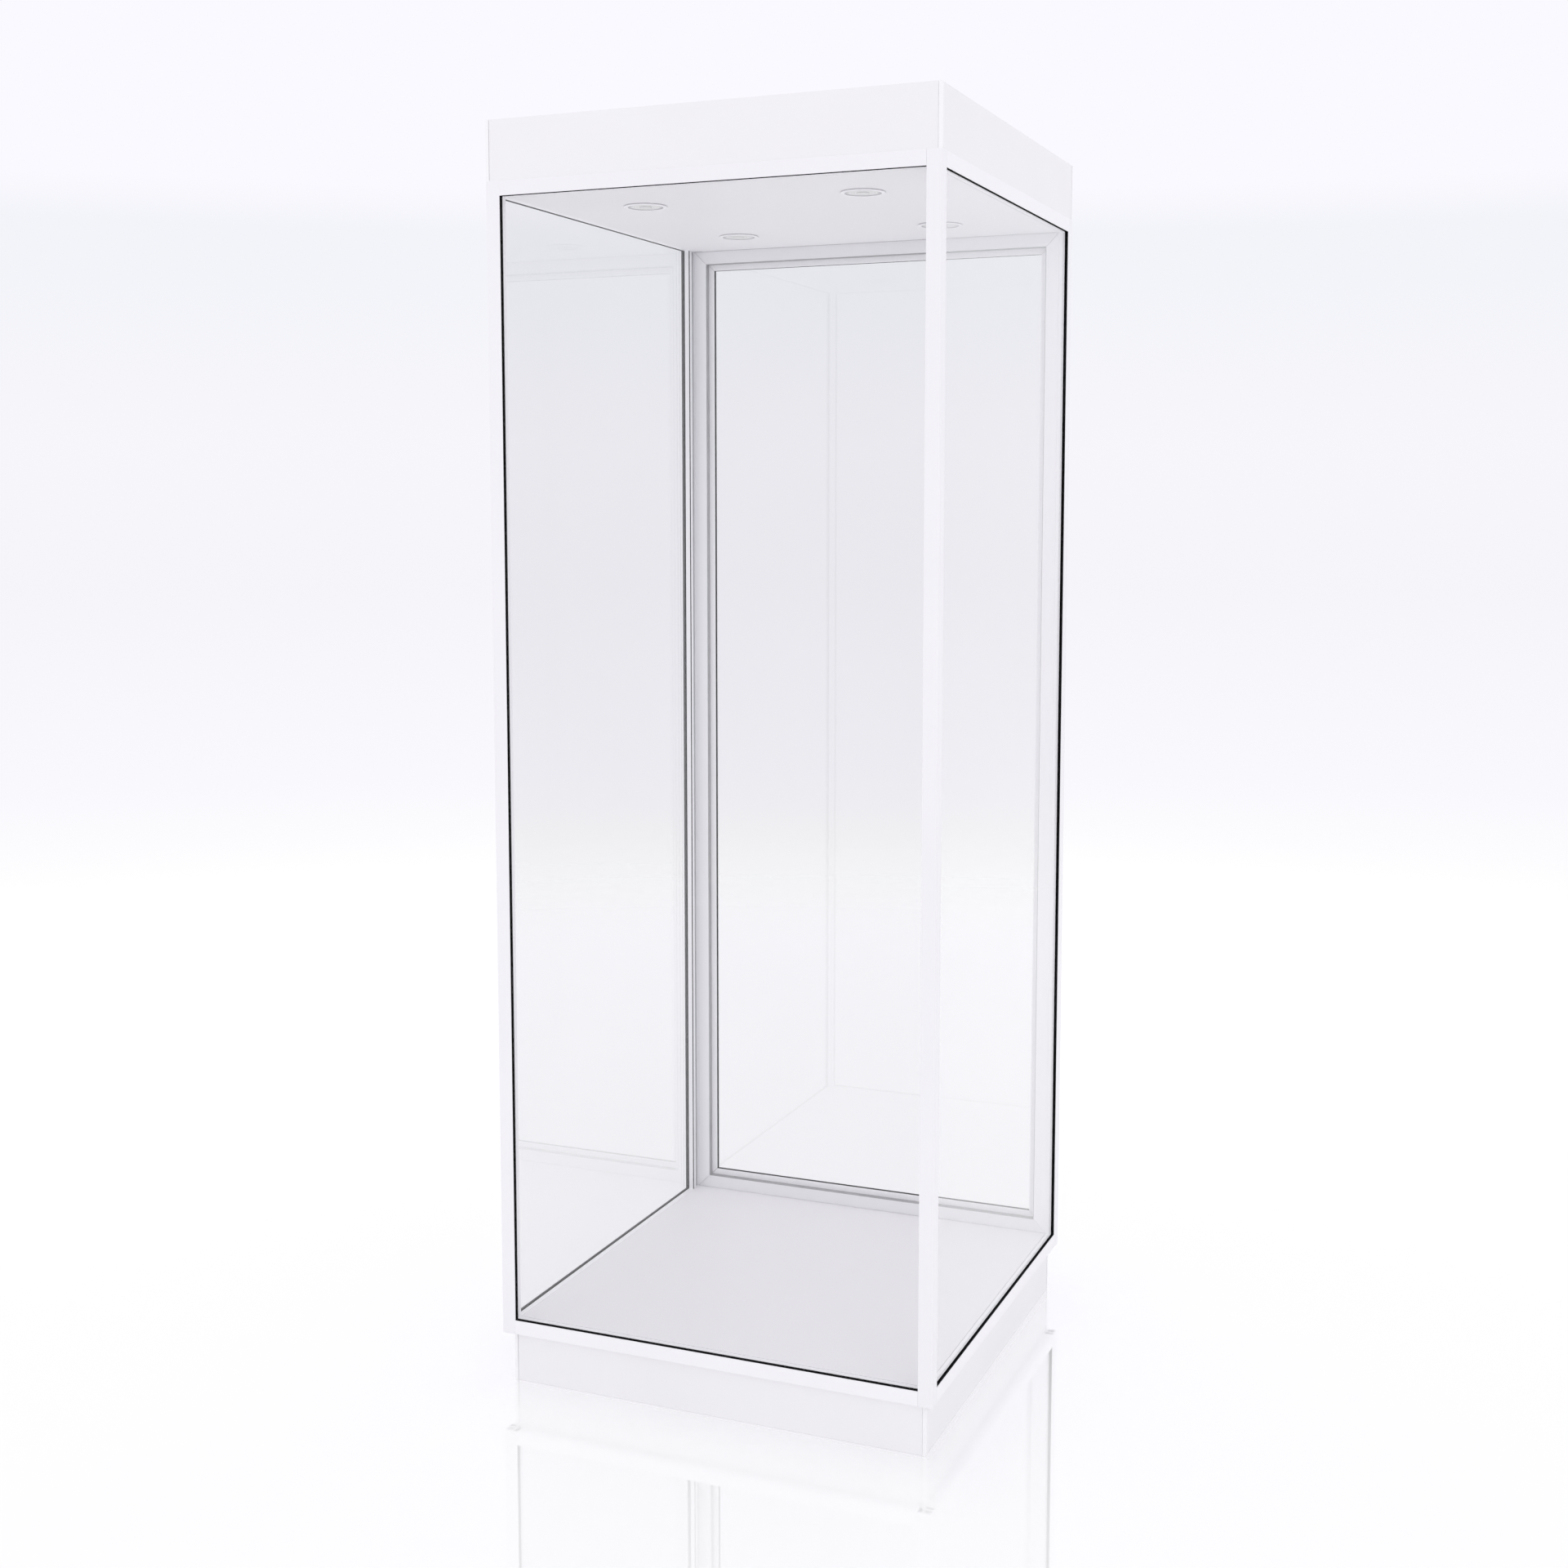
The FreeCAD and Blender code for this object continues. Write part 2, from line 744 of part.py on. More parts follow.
def downlight_reflector(place):
    """The tube in the neck, with a broad rim round the lens."""
    inside = neck_bore - reflector_wall
    rim = neck_bore - reflector_rim
    outline = [(rim, lens_face), (neck_bore, lens_face), (neck_bore, neck_top),
               (inside, neck_top), (inside, ceiling_level), (rim, ceiling_level)]
    return revolved(outline, place)


def downlight_lens(place):
    """The flat cover on the reflector's rim, with a raised middle."""
    front = neck_bore - reflector_rim - lens_fit
    flange = neck_bore - reflector_wall - lens_fit
    button = lens_button_diameter / 2
    back = ceiling_level + lens_flange
    outline = [(0, bezel_face), (button, bezel_face), (button, lens_face), (front, lens_face),
               (front, ceiling_level), (flange, ceiling_level), (flange, back), (0, back)]
    return revolved(outline, place)


def downlight_sink(place):
    """The finned heat sink on the neck."""
    finned = (neck_top + sink_base, neck_top + sink_height)
    body = upright(neck_radius, place.x, place.y, (neck_top, finned[1]))
    pitch = neck_diameter / sink_fins
    gaps = []
    for number in range(sink_fins):
        middle = place.x - neck_radius + (number + 0.5) * pitch
        gaps.append(box(around(middle, pitch * fin_gap_share), longer(around(place.y, neck_diameter)),
                        (finned[0], finned[1] + overrun)))
    return cut_all(body, gaps)


def downlight_clip(place, side):
    """A bent spring that draws the bezel up against the ceiling."""
    top = ceiling_top + clip_height
    tip = neck_radius + clip_reach
    outline = [(neck_radius, top), (neck_radius + clip_thickness, top),
               (tip - clip_foot, ceiling_top + clip_thickness), (tip, ceiling_top + clip_thickness),
               (tip, ceiling_top), (tip - clip_foot, ceiling_top),
               (neck_radius, top - clip_thickness - clip_thickness)]
    corners = [Vector(side * radius, -clip_width / 2, height) for radius, height in outline]
    strip = prism(corners, Vector(0, clip_width, 0))
    strip.translate(place)
    return strip.cut(upright(neck_radius, place.x, place.y, (ceiling_top - overrun, top + overrun)))


def led_driver():
    """The driver box on the ceiling, with a screw ear at each end."""
    ears = box(around(0, driver_length + 2 * driver_ear), around(0, driver_width),
               (ceiling_top, ceiling_top + driver_ear_thickness))
    body = box(around(0, driver_length), around(0, driver_width),
               (ceiling_top, ceiling_top + driver_height))
    reach = (driver_length + driver_ear) / 2
    holes = [upright(driver_hole_diameter / 2, side * reach, 0,
                     longer((ceiling_top, ceiling_top + driver_ear_thickness))) for side in SIGNS]
    return cut_all(fuse_all([ears, body]), holes)


# Canopy and plinth

canopy_z = (frame_top, canopy_top)
canopy_inside = (half_width - canopy_panel, half_depth - canopy_panel)
plinth_half_width = half_width - plinth_setback
plinth_half_depth = half_depth - plinth_setback
base_bottom = plinth_height - base_thickness


def casing_panel(facing, along, out, thickness, z):
    """A panel mitred in plan, notched at both ends for the corner beads and a shadow groove."""
    end = along - corner_bead
    face = out - panel_recess
    groove_end = end - shadow_groove_width
    groove_floor = face - shadow_groove_depth
    half = [(groove_end, face), (groove_end, groove_floor), (end, groove_floor),
            (end, out - corner_bead), (along - thickness, out - thickness)]
    outline = half + [(-place_along, place_out) for place_along, place_out in reversed(half)]
    place = {"front": lambda a, o: (a, -o), "back": lambda a, o: (a, o),
             "left": lambda a, o: (-o, a), "right": lambda a, o: (o, a)}[facing]
    corners = [Vector(*place(*point), z[0]) for point in outline]
    return prism(corners, Vector(0, 0, z[1] - z[0]))


def casing_panels(wide, deep, thickness, z):
    """The four panels round the canopy or the plinth, by the way that they face."""
    reach = {"front": (wide, deep), "back": (wide, deep), "left": (deep, wide), "right": (deep, wide)}
    return {facing: casing_panel(facing, *size, thickness, z) for facing, size in reach.items()}


def canopy_panels():
    """The canopy's panels, eased along the top."""
    eased_panels = []
    for facing, panel in casing_panels(half_width, half_depth, canopy_panel, canopy_z).items():
        axis = "x" if facing in ("front", "back") else "y"
        reach = (half_depth if axis == "x" else half_width) - panel_recess
        top = [edge for edge in panel.Edges if runs_along(edge, axis)
               and math.isclose(edge.CenterOfMass.z, canopy_top)
               and math.isclose(max(abs(edge.CenterOfMass.x), abs(edge.CenterOfMass.y)), reach)]
        eased_panels.append(panel.makeFillet(canopy_edge_round, top))
    return eased_panels


def corner_beads(wide, deep, z):
    """Four square corner beads, rounded on the outer edge."""
    beads = []
    for x_side in SIGNS:
        for y_side in SIGNS:
            bead = box(inward(x_side, x_side * wide, 0, corner_bead),
                       inward(y_side, y_side * deep, 0, corner_bead), z)
            outer = [edge for edge in bead.Edges if runs_along(edge, "z")
                     and edge.CenterOfMass.x * x_side > wide - corner_bead / 2
                     and edge.CenterOfMass.y * y_side > deep - corner_bead / 2]
            beads.append(bead.makeFillet(corner_bead_round, outer))
    return beads


def corner_blocks(wide, deep, size, z):
    """Four square blocks in the inner corners."""
    return [box(inward(x_side, x_side * wide, 0, size), inward(y_side, y_side * deep, 0, size), z)
            for x_side in SIGNS for y_side in SIGNS]


def lid_screws():
    """The places of the lid's screws, over the middles of the canopy's blocks."""
    x = half_width - canopy_panel - canopy_block / 2
    y = half_depth - canopy_panel - canopy_block / 2
    return [Vector(x_side * x, y_side * y, canopy_top) for x_side in SIGNS for y_side in SIGNS]


def canopy_blocks():
    """The blocks in the canopy's corners, drilled for the lid's screws."""
    seat = canopy_top - lid_thickness
    blocks = corner_blocks(*canopy_inside, canopy_block, (frame_top, seat))
    return [block.cut(upright(lid_screw_pilot / 2, place.x, place.y, (seat - lid_screw_bite, seat + overrun)))
            for block, place in zip(blocks, lid_screws())]


def canopy_lid():
    """The screwed lid on the canopy's blocks, slotted to vent the lighting."""
    height = (canopy_top - lid_thickness, canopy_top)
    wide = half_width - canopy_panel - panel_gap
    deep = half_depth - canopy_panel - panel_gap
    slots = []
    for side in SIGNS:
        for number in range(vent_slots):
            middle = (number - (vent_slots - 1) / 2) * vent_pitch
            along = inward(side, side * deep, vent_inset, vent_inset + vent_length)
            slots.append(box(around(middle, vent_width), along, longer(height)))
    for place in lid_screws():
        slots += countersunk(place, Vector(0, 0, -1), lid_screw_hole, lid_screw_head, lid_thickness)
    return cut_all(box((-wide, wide), (-deep, deep), height), slots)


def base_board():
    """The board in the plinth that the deck lies on and the feet screw into."""
    wide = plinth_half_width - plinth_panel - panel_gap
    deep = plinth_half_depth - plinth_panel - panel_gap
    holes = [upright(insert_radius, place.x, place.y, longer((base_bottom, plinth_height)))
             for place in FEET.values()]
    return cut_all(box((-wide, wide), (-deep, deep), (base_bottom, plinth_height)), holes)


# Levelling feet, drawn wound fully in

stem_radius = stem_diameter / 2
insert_radius = stem_radius + stem_fit + insert_wall
foot_x = plinth_half_width - foot_inset
foot_y = plinth_half_depth - foot_inset
FEET = {
    "front_left": Vector(-foot_x, -foot_y, 0),
    "front_right": Vector(foot_x, -foot_y, 0),
    "back_left": Vector(-foot_x, foot_y, 0),
    "back_right": Vector(foot_x, foot_y, 0),
}


def levelling_foot(place):
    """A pad with a hexagon to turn it and a threaded stem."""
    pad = revolved([(0, 0), (pad_diameter / 2, 0), (pad_diameter / 2, pad_rim),
                    (pad_top_diameter / 2, pad_height), (0, pad_height)], Vector())
    corner = nut_across_flats / math.sqrt(3)
    turns = [math.radians(60 * number) for number in range(6)]
    flats = [Vector(corner * math.cos(turn), corner * math.sin(turn), pad_height) for turn in turns]
    nut = prism(flats, Vector(0, 0, nut_height))
    stem = upright(stem_radius, 0, 0, (pad_height, plinth_height - stem_top_gap))
    foot = fuse_all([pad, nut, stem])
    foot.translate(place)
    return foot


def foot_insert(place):
    """The flanged threaded insert in the base board."""
    flange = upright(insert_radius + insert_flange_width, place.x, place.y,
                     (base_bottom - insert_flange_thickness, base_bottom))
    body = upright(insert_radius, place.x, place.y, (base_bottom, plinth_height))
    bore = upright(stem_radius + stem_fit, place.x, place.y,
                   longer((base_bottom - insert_flange_thickness, plinth_height)))
    return fuse_all([flange, body]).cut(bore)


# Cable grommet in the back panel of the plinth

grommet_radius = grommet_bore / 2 + grommet_wall
grommet_level = base_bottom / 2
grommet_panel_y = (plinth_half_depth - plinth_panel, plinth_half_depth - panel_recess)


def grommet_round(radius, y):
    """A round bar about the grommet's axis."""
    return crosswise(radius, -grommet_offset, y, grommet_level)


def cable_grommet():
    """A rubber sleeve with a flange on both faces of the panel."""
    flange = grommet_radius + grommet_flange_width
    inside = (grommet_panel_y[0] - grommet_flange_thickness, grommet_panel_y[0])
    outside = (grommet_panel_y[1], grommet_panel_y[1] + grommet_flange_thickness)
    solid = fuse_all([grommet_round(grommet_radius, grommet_panel_y),
                      grommet_round(flange, inside), grommet_round(flange, outside)])
    return solid.cut(grommet_round(grommet_bore / 2, longer((inside[0], outside[1]))))


def plinth_panels():
    """The plinth's four panels, the back one holed for the grommet."""
    panels = casing_panels(plinth_half_width, plinth_half_depth, plinth_panel, (0, plinth_height))
    panels["back"] = panels["back"].cut(grommet_round(grommet_radius, longer(grommet_panel_y)))
    return list(panels.values())


# Every node of the case by name; a list is a group of alike solids

plinth_inside = (plinth_half_width - plinth_panel, plinth_half_depth - plinth_panel)
corners = [(x_side, y_side) for x_side in SIGNS for y_side in SIGNS]

nodes = {
    "post_front_left": post(-1, -1, "ab"),
    "post_front_right": post(1, -1, "ab"),
    "post_back_left": strike_post(),
    "post_back_right": post(1, 1, "b"),
    "rail_top_front": rail_along_x(-1, 1, "b"),
    "rail_top_back": back_rail(1),
    "rail_top_left": rail_along_y(-1, 1),
    "rail_top_right": rail_along_y(1, 1),
    "rail_bottom_front": rail_along_x(-1, -1, "b"),
    "rail_bottom_back": back_rail(-1),
    "rail_bottom_left": rail_along_y(-1, -1),
    "rail_bottom_right": rail_along_y(1, -1),
    "corner_connectors": [corner_connector(*corner, end) for corner in corners for end in SIGNS],
    "pane_stile_left": pane_stile(),
    "stile_groove_cover": groove_cover(),
    "stile_edge_seal": stile_strip((deck_level, ceiling_level), (profile - edge_seal, profile),
                                   (profile - edge_seal, profile)),
    "glazing_gaskets": [pane_gasket(wall) for wall in GLAZED],
    "glazing_beads": sum([pane_beads(wall) for wall in GLAZED], [stile_bead()]),
    "door_stop_stiles": [stop_bar("left"), stop_bar("right")],
    "door_stop_rails": [stop_bar("bottom"), stop_bar("top")],
    "door_seal": door_seal(),
    "door_stile_hinge": hinge_stile(),
    "door_stile_lock": lock_stile(),
    "door_rail_top": leaf_rail("top"),
    "door_rail_bottom": leaf_rail("bottom"),
    "door_corner_cleats": [corner_cleat(side, end) for side in SIGNS for end in SIGNS],
    "door_gasket": door_gasket(),
    "door_glass": door_glass(),
    "door_pivot_pins": [pivot_pin(end) for end in SIGNS],
    "pivot_bushes": [pivot_bush(end) for end in SIGNS],
    "lock_case": lock_case(),
    "lock_escutcheon": lock_escutcheon(),
    "lock_plug": lock_plug(),
    "lock_bolt": lock_bolt(),
    "strike_plate": strike_plate(),
    "deck_panel": inner_panel((frame_bottom, deck_level)),
    "ceiling_panel": ceiling_panel(),
    "ceiling_brackets": ceiling_brackets(),
    "downlight_bezels": [downlight_bezel(lamp) for lamp in LAMPS],
    "downlight_reflectors": [downlight_reflector(lamp) for lamp in LAMPS],
    "downlight_lenses": [downlight_lens(lamp) for lamp in LAMPS],
    "downlight_heat_sinks": [downlight_sink(lamp) for lamp in LAMPS],
    "downlight_clips": [downlight_clip(lamp, side) for lamp in LAMPS for side in SIGNS],
    "led_driver": led_driver(),
    "canopy_panels": canopy_panels(),
    "canopy_lid": canopy_lid(),
    "plinth_panels": plinth_panels(),
    "corner_beads": corner_beads(half_width, half_depth, canopy_z)
    + corner_beads(plinth_half_width, plinth_half_depth, (0, plinth_height)),
    "canopy_corner_blocks": canopy_blocks(),
    "plinth_corner_blocks": corner_blocks(*plinth_inside, plinth_block, (block_clearance, base_bottom)),
    "base_board": base_board(),
    "foot_inserts": [foot_insert(place) for place in FEET.values()],
    "cable_grommet": cable_grommet(),
}
nodes.update({"glass_" + wall: pane(wall) for wall in GLAZED})
nodes.update({"levelling_foot_" + name: levelling_foot(place) for name, place in FEET.items()})

os.makedirs("parts", exist_ok=True)
for name, made in nodes.items():
    shape = Part.makeCompound(made) if isinstance(made, list) else made
    shape.exportStep("parts/" + name + ".step")
solids = sum(len(made) if isinstance(made, list) else 1 for made in nodes.values())
print(len(nodes), "nodes,", solids, "solids")
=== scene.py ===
# %% [markdown]
# A tall glazed display case
#
# The case is a white aluminium frame with glass walls, a plain canopy above and a set-back
# plinth below. Every rigid piece is already modelled at its real size, so this lesson is about
# looks: finishes made of shader nodes, small screws made with Geometry Nodes, a studio and a
# camera. Loading the frame comes first, because later steps read its pieces and sizes.

# %% Load the frame
import json
import math

import bmesh
import bpy
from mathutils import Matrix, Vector


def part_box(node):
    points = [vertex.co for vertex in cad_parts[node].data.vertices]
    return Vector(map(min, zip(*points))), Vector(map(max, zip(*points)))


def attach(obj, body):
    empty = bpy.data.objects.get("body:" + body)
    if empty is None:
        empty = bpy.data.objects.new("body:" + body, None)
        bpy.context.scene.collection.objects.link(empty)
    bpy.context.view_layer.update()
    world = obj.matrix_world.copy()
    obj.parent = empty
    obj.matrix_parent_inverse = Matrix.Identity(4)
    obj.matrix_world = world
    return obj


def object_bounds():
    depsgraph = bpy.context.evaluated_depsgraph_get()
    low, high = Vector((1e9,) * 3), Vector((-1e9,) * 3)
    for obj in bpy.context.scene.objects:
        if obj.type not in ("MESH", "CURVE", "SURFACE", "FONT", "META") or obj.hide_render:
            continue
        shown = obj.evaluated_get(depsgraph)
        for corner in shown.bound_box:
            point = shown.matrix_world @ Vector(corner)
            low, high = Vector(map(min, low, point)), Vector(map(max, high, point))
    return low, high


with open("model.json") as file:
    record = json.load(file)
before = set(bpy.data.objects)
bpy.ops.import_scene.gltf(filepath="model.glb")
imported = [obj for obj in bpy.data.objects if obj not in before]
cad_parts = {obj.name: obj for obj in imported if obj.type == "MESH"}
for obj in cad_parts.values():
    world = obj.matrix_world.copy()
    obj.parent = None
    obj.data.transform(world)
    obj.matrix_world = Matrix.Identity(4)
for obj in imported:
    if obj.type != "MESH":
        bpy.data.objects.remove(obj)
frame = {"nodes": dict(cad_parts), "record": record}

cad_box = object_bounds()
case_low, case_high = cad_box
case_size = [round(size, 3) for size in case_high - case_low]
print("case", case_size, "m in", len(frame["nodes"]), "pieces")

# %% [markdown]
# Small helpers for node trees
#
# A finish is a tree of nodes. Writing each node with its links takes many lines, so one helper
# makes a node, sets its plain inputs and links the others. The patterns read Object coordinates,
# which are metres here, so a noise scale is a number of grains per metre.

# %% Node helpers
noise_low, noise_high = 0.3, 0.7


def add(tree, kind, inputs=None, **settings):
    """A node of a kind, with inputs that are values or other nodes' outputs."""
    made = tree.nodes.new(kind)
    for name, value in settings.items():
        setattr(made, name, value)
    for name, value in (inputs or {}).items():
        socket = made.inputs[name]
        if isinstance(value, bpy.types.NodeSocket):
            tree.links.new(value, socket)
        else:
            socket.default_value = value
    return made


def blank(name):
    """A material with nothing in its tree but the output."""
    made = bpy.data.materials.new(name)
    made.use_nodes = True
    made.node_tree.nodes.clear()
    return made, made.node_tree


def show(tree, shader):
    """Sends a shader to the material's output."""
    add(tree, "ShaderNodeOutputMaterial", {"Surface": shader})


def grain(tree, per_metre, stretch=(1, 1, 1), detail=2.0):
    """Noise in object space, in grains per metre, which stretch can draw out along an axis."""
    place = add(tree, "ShaderNodeTexCoord").outputs["Object"]
    scaled = add(tree, "ShaderNodeMapping", {"Vector": place, "Scale": stretch})
    noise = add(tree, "ShaderNodeTexNoise",
                {"Vector": scaled.outputs["Vector"], "Scale": per_metre, "Detail": detail})
    return noise.outputs["Fac"]


def between(tree, pattern, low, high):
    """A pattern turned into numbers between two ends."""
    made = add(tree, "ShaderNodeMapRange", {
        "Value": pattern, "From Min": noise_low, "From Max": noise_high,
        "To Min": low, "To Max": high,
    })
    return made.outputs["Result"]


def blended(tree, factor, first, second):
    """A colour between two, which are colours or other nodes' outputs."""
    made = add(tree, "ShaderNodeMix", {0: factor, 6: first, 7: second}, data_type="RGBA")
    return made.outputs[2]


def two_tone(tree, pattern, first, second):
    """A pattern turned into a colour between two tones."""
    return blended(tree, between(tree, pattern, 0, 1), (*first, 1), (*second, 1))


def relief(tree, pattern, height):
    """A pattern turned into a bump of a height in metres."""
    return add(tree, "ShaderNodeBump", {"Height": pattern, "Distance": height}).outputs["Normal"]


def calc(tree, operation, first, second=0.0):
    """The result of an operation on two numbers or outputs."""
    return add(tree, "ShaderNodeMath", {0: first, 1: second}, operation=operation).outputs[0]


def vector_calc(tree, operation, first, second=(0, 0, 0)):
    """The vector that an operation makes of two vectors or outputs."""
    made = add(tree, "ShaderNodeVectorMath", {0: first, 1: second}, operation=operation)
    return made.outputs["Vector"]


def vector_size(tree, operation, first, second=(0, 0, 0)):
    """The number that an operation makes of two vectors or outputs."""
    made = add(tree, "ShaderNodeVectorMath", {0: first, 1: second}, operation=operation)
    return made.outputs["Value"]


def principled(tree, inputs):
    """A Principled shader with the given inputs."""
    return add(tree, "ShaderNodeBsdfPrincipled", inputs).outputs["BSDF"]


def shade(colour, factor):
    """A colour made darker or lighter."""
    return tuple(channel * factor for channel in colour)


print("node helpers ready")

# %% [markdown]
# Paints and boards
#
# The frame has a satin powder coat and the boards a rolled paint. Both are nearly the same white,
# and a flat white would look like paper. A broad, weak noise shifts the tone and a fine one gives
# the coat its orange peel. One coat for the whole frame would be simpler, but the whites are set
# piece by piece to match the picture, and some are painted light and shade: the door and some rails
# are slightly brighter as painted light, the rails of the door stop slightly greyer as painted
# shade, and the corner beads brightest, as a painted highlight, and smoothest. The ceiling has a
# slightly darker paint than the other boards, which is painted shade.

# %% Powder coat, painted board and deck laminate
frame_white = (0.934, 0.927, 0.955)
# Painted light: the rails and the door take this lighter copy of the frame white.
painted_light_rail_white = (0.960, 0.953, 0.981)
# Painted shade: the door stop rails take this darker copy of the frame white.
painted_shade_stop_white = (0.868, 0.861, 0.888)
# Painted highlight: the corner beads take this brightest copy of the frame white.
painted_highlight_bead_white = (0.975, 0.972, 0.985)
board_white = (0.930, 0.923, 0.942)
# Painted shade: the ceiling takes this darker copy of the board white.
painted_shade_ceiling_white = (0.910, 0.902, 0.922)
deck_grey = (0.915, 0.903, 0.927)
coat_patches, coat_peel, peel_height = 4, 650, 0.000012
paint_patches, paint_stipple, stipple_height = 3, 420, 0.00003
deck_clouds, deck_flecks, fleck_height = 14, 330, 0.00001


def powder_coat(name, tone, rough):
    """White powder coat on aluminium."""
    made, tree = blank(name)
    broad = grain(tree, coat_patches)
    peel = grain(tree, coat_peel)
    show(tree, principled(tree, {
        "Base Color": two_tone(tree, broad, shade(tone, 0.99), shade(tone, 1.01)),
        "Roughness": between(tree, peel, rough - 0.05, rough + 0.05),
        "Normal": relief(tree, peel, peel_height),
    }))
    return made


def painted_board(name, tone):
    """White paint rolled on board."""
    made, tree = blank(name)
    broad = grain(tree, paint_patches)
    stipple = grain(tree, paint_stipple, detail=4.0)
    show(tree, principled(tree, {
        "Base Color": two_tone(tree, broad, shade(tone, 0.985), shade(tone, 1.01)),
        "Roughness": between(tree, stipple, 0.42, 0.55),
        "Normal": relief(tree, stipple, stipple_height),
    }))
    return made


def deck_laminate():
    """Pale laminate with a fine fleck."""
    made, tree = blank("flecked_laminate")
    fleck = grain(tree, deck_flecks, detail=5.0)
    cloud = grain(tree, deck_clouds)
    tone = two_tone(tree, fleck, shade(deck_grey, 0.95), shade(deck_grey, 1.05))
    mottled = blended(tree, between(tree, cloud, 0.0, 0.12), tone, (*shade(deck_grey, 1.05), 1))
    show(tree, principled(tree, {
        "Base Color": mottled,
        "Roughness": between(tree, fleck, 0.34, 0.46),
        "Normal": relief(tree, fleck, fleck_height),
    }))
    return made


print("paints ready")

# %% [markdown]
# Glass
#
# A pane is clear, with a little of the light lost in each face. The shader is ordinary glass for
# what the eye sees. For shadow and diffuse rays it is a plain tinted window instead, so that
# daylight comes through to the deck and the ceiling without the grain of traced caustics.

# %% Clear glass
glass_tint = (0.939, 0.940, 0.944)
window_tint = (0.995, 0.995, 0.996)
glass_bend = 1.5
glass_streaks = 2.5


def clear_glass():
    """Polished clear glass that lets light in."""
    made, tree = blank("clear_glass")
    streak = grain(tree, glass_streaks)
    pane = principled(tree, {
        "Base Color": two_tone(tree, streak, shade(glass_tint, 0.996), shade(glass_tint, 1.004)),
        "Roughness": 0.0, "IOR": glass_bend, "Transmission Weight": 1.0,
    })
    window = add(tree, "ShaderNodeBsdfTransparent", {"Color": (*window_tint, 1)})
    path = add(tree, "ShaderNodeLightPath").outputs
    lit = calc(tree, "MAXIMUM", path["Is Shadow Ray"], path["Is Diffuse Ray"])
    mixed = add(tree, "ShaderNodeMixShader", {0: lit, 1: pane, 2: window.outputs[0]})
    show(tree, mixed.outputs[0])
    return made


print("glass ready")

# %% [markdown]
# Rubber, plastics and metals
#
# These are the small pieces: gaskets and seals, the groove cover, feet, lock and lamp parts. One
# function serves the dull ones, with a tone, a roughness and a grain size each. The metals share
# another, where the grain is drawn out along one axis to give turning or extrusion lines.

# %% Rubber, plastics and metals
tone_patches = 25
metal_line_height = 0.000006


def moulded(name, tone, rough, per_metre, depth, gloss=0.5):
    """A moulded plastic or rubber with a fine skin."""
    made, tree = blank(name)
    broad = grain(tree, tone_patches)
    skin = grain(tree, per_metre, detail=3.0)
    show(tree, principled(tree, {
        "Base Color": two_tone(tree, broad, shade(tone, 0.93), shade(tone, 1.07)),
        "Roughness": between(tree, skin, rough - 0.06, rough + 0.06),
        "Specular IOR Level": gloss,
        "Normal": relief(tree, skin, depth),
    }))
    return made


def metal(name, tone, rough, per_metre, stretch):
    """A bare or plated metal with drawn-out lines."""
    made, tree = blank(name)
    lines = grain(tree, per_metre, stretch=stretch, detail=3.0)
    show(tree, principled(tree, {
        "Base Color": two_tone(tree, lines, shade(tone, 0.93), shade(tone, 1.06)),
        "Metallic": 1.0,
        "Roughness": between(tree, lines, rough * 0.8, rough * 1.25),
        "Normal": relief(tree, lines, metal_line_height),
    }))
    return made


def lamp_distance(tree):
    """The distance from the axis of the nearest of the four lamps."""
    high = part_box("downlight_bezels")[1]
    centre = (high.x - bezel_radius, high.y - bezel_radius, 0)
    place = add(tree, "ShaderNodeTexCoord").outputs["Object"]
    folded = vector_calc(tree, "ABSOLUTE", place)
    flat = vector_calc(tree, "MULTIPLY", folded, (1, 1, 0))
    return vector_size(tree, "DISTANCE", flat, centre)


def painted_shade_ringed_lens():
    """A frosted lamp cover with fine round steps, whose grey bands are painted shade."""
    made, tree = blank("painted_shade_ringed_lens")
    step = calc(tree, "PINGPONG", calc(tree, "DIVIDE", lamp_distance(tree), lens_ring_pitch), 0.5)
    ridge_and_painted_shade = add(tree, "ShaderNodeMapRange", {"Value": step, "From Max": 0.5}).outputs["Result"]
    show(tree, principled(tree, {
        # Painted shade: the steps are grey, darker than the frosted white between them.
        "Base Color": two_tone(tree, ridge_and_painted_shade, (0.64, 0.64, 0.65), (0.92, 0.92, 0.91)),
        "Roughness": between(tree, grain(tree, lens_frost), 0.24, 0.34),
        "Normal": relief(tree, ridge_and_painted_shade, lens_ring_height),
    }))
    return made


